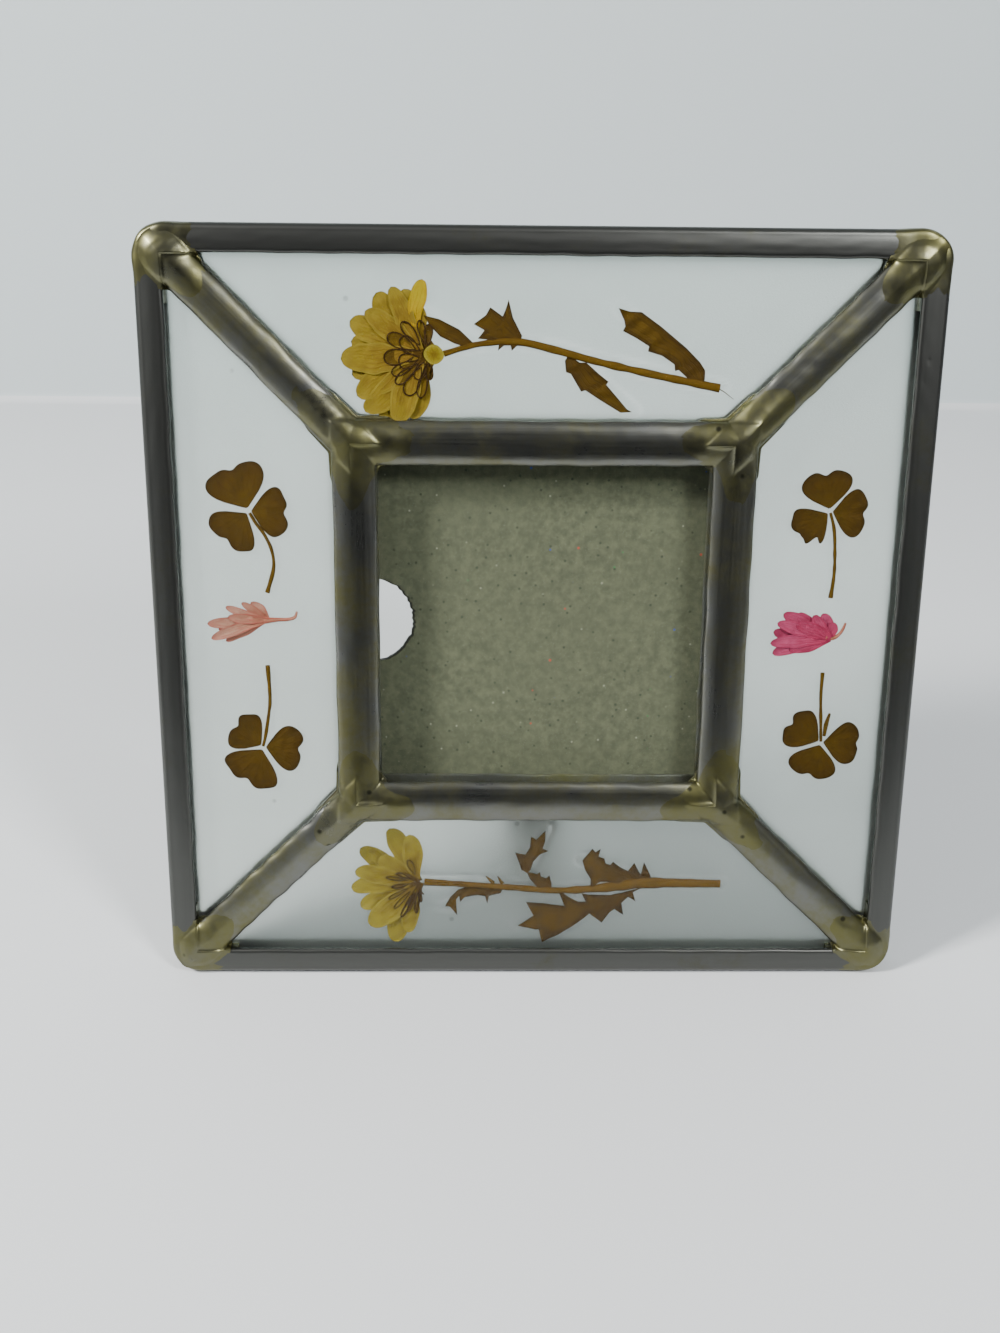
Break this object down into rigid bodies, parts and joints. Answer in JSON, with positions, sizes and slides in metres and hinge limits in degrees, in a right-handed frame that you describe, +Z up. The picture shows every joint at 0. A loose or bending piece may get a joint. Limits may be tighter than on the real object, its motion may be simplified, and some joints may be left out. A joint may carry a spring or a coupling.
{
  "type": "pressed flower frame",
  "caption": "Square leaded-glass picture frame that leans back on a rear leg, with daisies, clover leaves and florets pressed between clear and frosted glass around a small window.",
  "frame": {"origin": "centre of the bounding box's bottom, on the surface that the frame stands on", "axes": "+X to the viewer's right, +Y away from the viewer, toward the leg, +Z up"},
  "size_m": [0.1304, 0.0442, 0.1282],
  "materials": {
    "dark_lead": "dark satin lead, lengthwise brushed, olive patina",
    "patina_solder": "lumpy solder, bright where rubbed",
    "clear_glass": "clear and smooth",
    "frosted_glass": "frosted, grey-green, hazy",
    "grey_chipboard": "matte grey-green, speckled",
    "leg_strip": "satin",
    "gold_petals": "dry, matte, golden",
    "pale_petals": "dry, matte, pale yellow",
    "pink_petals": "dry, matte, salmon pink",
    "magenta_petals": "dry, matte, magenta",
    "dried_disc": "dry, matte, dark brown",
    "dried_stem": "dry, matte, brown",
    "dried_leaf": "dry, matte, olive brown",
    "dried_clover": "dry, matte, olive brown"
  },
  "bodies": {
    "root": {"backing_board": "grey_chipboard", "bottom_daisy_disc": "dried_disc", "bottom_daisy_leaf_large": "dried_leaf", "bottom_daisy_leaf_near": "dried_leaf", "bottom_daisy_leaf_rising": "dried_leaf", "bottom_daisy_leaf_upper": "dried_leaf", "bottom_daisy_petals": "pale_petals", "bottom_daisy_stem": "dried_stem", "clover_bottom_left": "dried_clover", "clover_bottom_right": "dried_clover", "clover_top_left": "dried_clover", "clover_top_right": "dried_clover", "diagonal_came_bottom_left": "dark_lead", "diagonal_came_bottom_right": "dark_lead", "diagonal_came_top_left": "dark_lead", "diagonal_came_top_right": "dark_lead", "front_glass_bottom": "clear_glass", "front_glass_left": "clear_glass", "front_glass_right": "clear_glass", "front_glass_top": "clear_glass", "frosted_back_bottom": "frosted_glass", "frosted_back_left": "frosted_glass", "frosted_back_right": "frosted_glass", "frosted_back_top": "frosted_glass", "magenta_floret_petals": "magenta_petals", "magenta_floret_stem": "dried_stem", "outer_came_bottom": "dark_lead", "outer_came_left": "dark_lead", "outer_came_right": "dark_lead", "outer_came_top": "dark_lead", "outer_joint_bottom_left": "patina_solder", "outer_joint_bottom_right": "patina_solder", "outer_joint_top_left": "patina_solder", "outer_joint_top_right": "patina_solder", "pink_floret_petals": "pink_petals", "pink_floret_stem": "dried_stem", "rear_leg": "leg_strip", "slide_pocket": "dark_lead", "top_daisy_disc": "dried_disc", "top_daisy_leaf_bud": "dried_leaf", "top_daisy_leaf_lobed": "dried_leaf", "top_daisy_leaf_lower": "dried_leaf", "top_daisy_leaf_upper": "dried_leaf", "top_daisy_petals": "gold_petals", "top_daisy_stem": "dried_stem", "window_came_bottom": "dark_lead", "window_came_left": "dark_lead", "window_came_right": "dark_lead", "window_came_top": "dark_lead", "window_glass": "clear_glass", "window_joint_bottom_left": "patina_solder", "window_joint_bottom_right": "patina_solder", "window_joint_top_left": "patina_solder", "window_joint_top_right": "patina_solder"}
  },
  "joints": []
}
